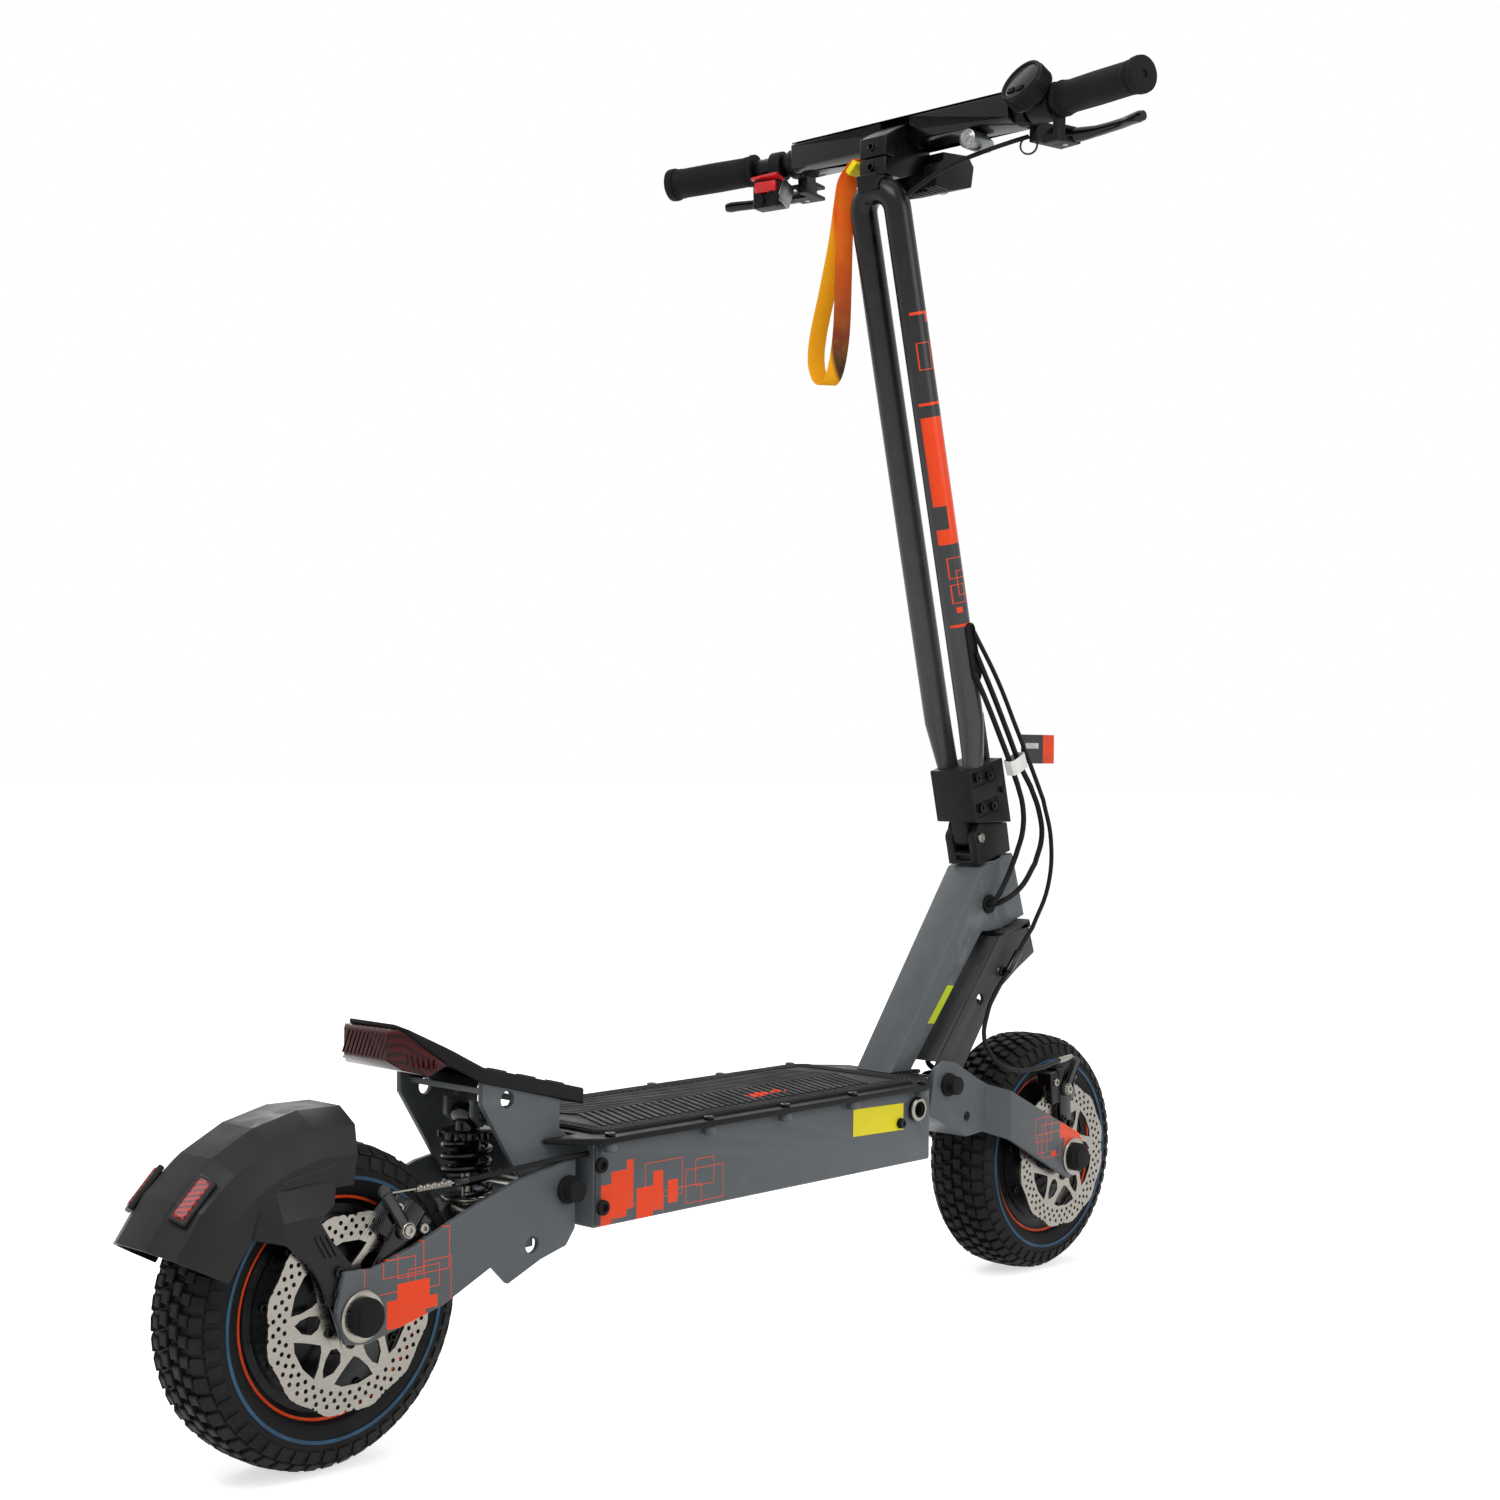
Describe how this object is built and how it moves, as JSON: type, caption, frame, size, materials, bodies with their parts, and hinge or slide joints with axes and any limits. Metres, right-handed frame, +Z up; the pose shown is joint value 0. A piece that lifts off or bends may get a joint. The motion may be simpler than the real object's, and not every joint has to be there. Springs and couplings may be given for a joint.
{
  "type": "electric kick scooter",
  "caption": "Electric kick scooter with a folding twin-tube stem, rubber-topped deck, kick tail, swing-arm suspension and hub motors, drawn upright",
  "frame": {"origin": "centre of the overall length and width, on the ground", "axes": "+X is forward, the way it rides; +Y is to the rider's left; +Z is up"},
  "size_m": [1.2408, 0.6246, 1.2367],
  "materials": {
    "side_paint": "satin",
    "dark_paint": "satin",
    "black_metal": "gloss",
    "tube_paint": "satin",
    "bright_steel": "brushed",
    "bare_alloy": "machined",
    "black_plastic": "matte",
    "gloss_black": "gloss",
    "soft_rubber": "matte",
    "tyre_rubber": "matte",
    "red_lens": "gloss",
    "red_plastic": "gloss",
    "clear_lens": "clear",
    "strap_weave": "woven",
    "cell_wrap": "shrink film"
  },
  "bodies": {
    "chassis": {"deck_tub": "side_paint", "deck_lid": "black_plastic", "deck_mat": "soft_rubber", "lid_screws": "bright_steel", "neck": "side_paint", "head_bearings": "bright_steel", "battery_pack": "cell_wrap", "motor_controller": "bare_alloy", "kick_plate": "black_plastic", "tail_lamp": "red_lens", "rear_bracket": "side_paint", "rear_pins": "bright_steel", "side_trims": "soft_rubber", "rear_cable": "soft_rubber"},
    "side_stand": {"kickstand": "dark_paint"},
    "fork": {"fork_bracket": "dark_paint", "fold_base": "dark_paint", "fork_pins": "bright_steel"},
    "stem": {"fold_top": "black_metal", "stem_tubes": "tube_paint", "stem_bolts": "black_metal", "bar_clamp": "black_metal", "handlebar": "black_metal", "grips": "soft_rubber", "cockpit_box": "gloss_black", "headlight_body": "black_plastic", "headlight_lens": "clear_lens", "throttle_body": "black_plastic", "brake_perches": "black_plastic", "switch_body": "black_plastic", "hang_tags": "strap_weave", "control_cables": "soft_rubber"},
    "right_lever": {"brake_lever_right": "black_plastic"},
    "left_lever": {"brake_lever_left": "black_plastic"},
    "thumb_lever": {"throttle_lever": "black_plastic"},
    "latch": {"latch_lever": "black_plastic"},
    "button": {"switch_button": "red_plastic"},
    "front_swing": {"front_arm": "side_paint", "front_axle": "bare_alloy", "front_caps": "soft_rubber", "front_caliper": "black_plastic"},
    "front_brake_arm": {"front_caliper_arm": "dark_paint"},
    "front_wheel": {"front_hub": "black_metal", "front_tyre": "tyre_rubber", "front_rotor": "bright_steel"},
    "rear_swing": {"rear_arm": "side_paint", "rear_axle": "bare_alloy", "rear_caps": "soft_rubber", "rear_caliper": "black_plastic", "fender": "black_plastic"},
    "rear_brake_arm": {"rear_caliper_arm": "dark_paint"},
    "rear_wheel": {"rear_hub": "black_metal", "rear_tyre": "tyre_rubber", "rear_rotor": "bright_steel"},
    "rear_damper": {"rear_shock_body": "gloss_black"},
    "rear_damper_rod": {"rear_shock_rod": "bright_steel", "rear_spring": "gloss_black"},
    "front_damper": {"front_shock_body": "gloss_black"},
    "front_damper_rod": {"front_shock_rod": "bright_steel", "front_spring": "gloss_black"}
  },
  "joints": [
    {"name": "steering", "type": "hinge", "parent": "chassis", "child": "fork", "pos_m": [0.41939, 0, 0.415], "axis": [-0.2453, 0, 0.9694], "range_deg": [-40, 40], "deforming": ["control_cables"]},
    {"name": "stem_fold", "type": "hinge", "parent": "fork", "child": "stem", "pos_m": [0.38502, 0, 0.47335], "axis": [0, -1, 0], "range_deg": [0, 84], "deforming": ["control_cables"]},
    {"name": "latch_turn", "type": "hinge", "parent": "stem", "child": "latch", "pos_m": [0.41422, 0, 0.5251], "axis": [0, 1, 0], "range_deg": [0, 85]},
    {"name": "right_brake_pull", "type": "hinge", "parent": "stem", "child": "right_lever", "pos_m": [0.3125, -0.17022, 1.17699], "axis": [0.0054, 0.0244, -0.9997], "range_deg": [0, 18], "stiffness_Nm_per_rad": 1.2, "springref_deg": -11.46},
    {"name": "left_brake_pull", "type": "hinge", "parent": "stem", "child": "left_lever", "pos_m": [0.3125, 0.17022, 1.17699], "axis": [-0.0054, 0.0244, 0.9997], "range_deg": [0, 18], "stiffness_Nm_per_rad": 1.2, "springref_deg": -11.46},
    {"name": "throttle_push", "type": "hinge", "parent": "stem", "child": "thumb_lever", "pos_m": [0.26342, -0.19784, 1.19706], "axis": [-0.2147, -0.9764, -0.025], "range_deg": [0, 35], "stiffness_Nm_per_rad": 0.1, "springref_deg": -17.19},
    {"name": "button_press", "type": "slide", "parent": "stem", "child": "button", "axis": [0.9767, 0.2147, 0], "range_m": [0, 0.0023], "stiffness_N_per_m": 500, "springref_m": -0.002},
    {"name": "front_swing_turn", "type": "hinge", "parent": "fork", "child": "front_swing", "pos_m": [0.29839, 0, 0.223], "axis": [0, -1, 0], "range_deg": [0, 12], "stiffness_Nm_per_rad": 320, "springref_deg": -11.46, "deforming": ["control_cables"]},
    {"name": "front_wheel_roll", "type": "hinge", "parent": "front_swing", "child": "front_wheel", "pos_m": [0.49289, 0, 0.1275], "axis": [0, 1, 0], "continuous": true},
    {"name": "front_brake_arm_turn", "type": "hinge", "parent": "front_swing", "child": "front_brake_arm", "pos_m": [0.48515, -0.064, 0.20109], "axis": [0, -1, 0], "range_deg": [0, 22]},
    {"name": "front_damper_turn", "type": "hinge", "parent": "fork", "child": "front_damper", "pos_m": [0.40039, 0, 0.332], "axis": [0, -1, 0], "range_deg": [0, 1]},
    {"name": "front_damper_slide", "type": "slide", "parent": "front_damper", "child": "front_damper_rod", "axis": [0.4267, 0, 0.9044], "range_m": [0, 0.011], "deforming": ["front_spring"]},
    {"name": "rear_swing_turn", "type": "hinge", "parent": "chassis", "child": "rear_swing", "pos_m": [-0.24961, 0, 0.195], "axis": [0, 1, 0], "range_deg": [0, 12], "stiffness_Nm_per_rad": 320, "springref_deg": -11.46, "deforming": ["rear_cable"]},
    {"name": "rear_wheel_roll", "type": "hinge", "parent": "rear_swing", "child": "rear_wheel", "pos_m": [-0.46161, 0, 0.1275], "axis": [0, 1, 0], "continuous": true},
    {"name": "rear_brake_arm_turn", "type": "hinge", "parent": "rear_swing", "child": "rear_brake_arm", "pos_m": [-0.41605, -0.064, 0.18581], "axis": [0, 1, 0], "range_deg": [0, 22]},
    {"name": "rear_damper_turn", "type": "hinge", "parent": "chassis", "child": "rear_damper", "pos_m": [-0.30161, 0, 0.256], "axis": [0, 1, 0], "range_deg": [0, 3]},
    {"name": "rear_damper_slide", "type": "slide", "parent": "rear_damper", "child": "rear_damper_rod", "axis": [0, 0, 1], "range_m": [0, 0.012], "deforming": ["rear_spring"]},
    {"name": "stand_swing", "type": "hinge", "parent": "chassis", "child": "side_stand", "pos_m": [-0.03411, 0.088, 0.176], "axis": [0, -1, 0], "range_deg": [0, 85], "stiffness_Nm_per_rad": 0.4, "springref_deg": -45.84}
  ],
  "couplings": [
    {"joint": "front_brake_arm_turn", "follows": "right_brake_pull", "ratio": 1.2222},
    {"joint": "rear_brake_arm_turn", "follows": "left_brake_pull", "ratio": 1.2222},
    {"joint": "front_damper_turn", "follows": "front_swing_turn", "ratio": 0.0683},
    {"joint": "front_damper_slide", "follows": "front_swing_turn", "m_per_rad": 0.0468},
    {"joint": "rear_damper_turn", "follows": "rear_swing_turn", "ratio": 0.2179},
    {"joint": "rear_damper_slide", "follows": "rear_swing_turn", "m_per_rad": 0.0534}
  ]
}
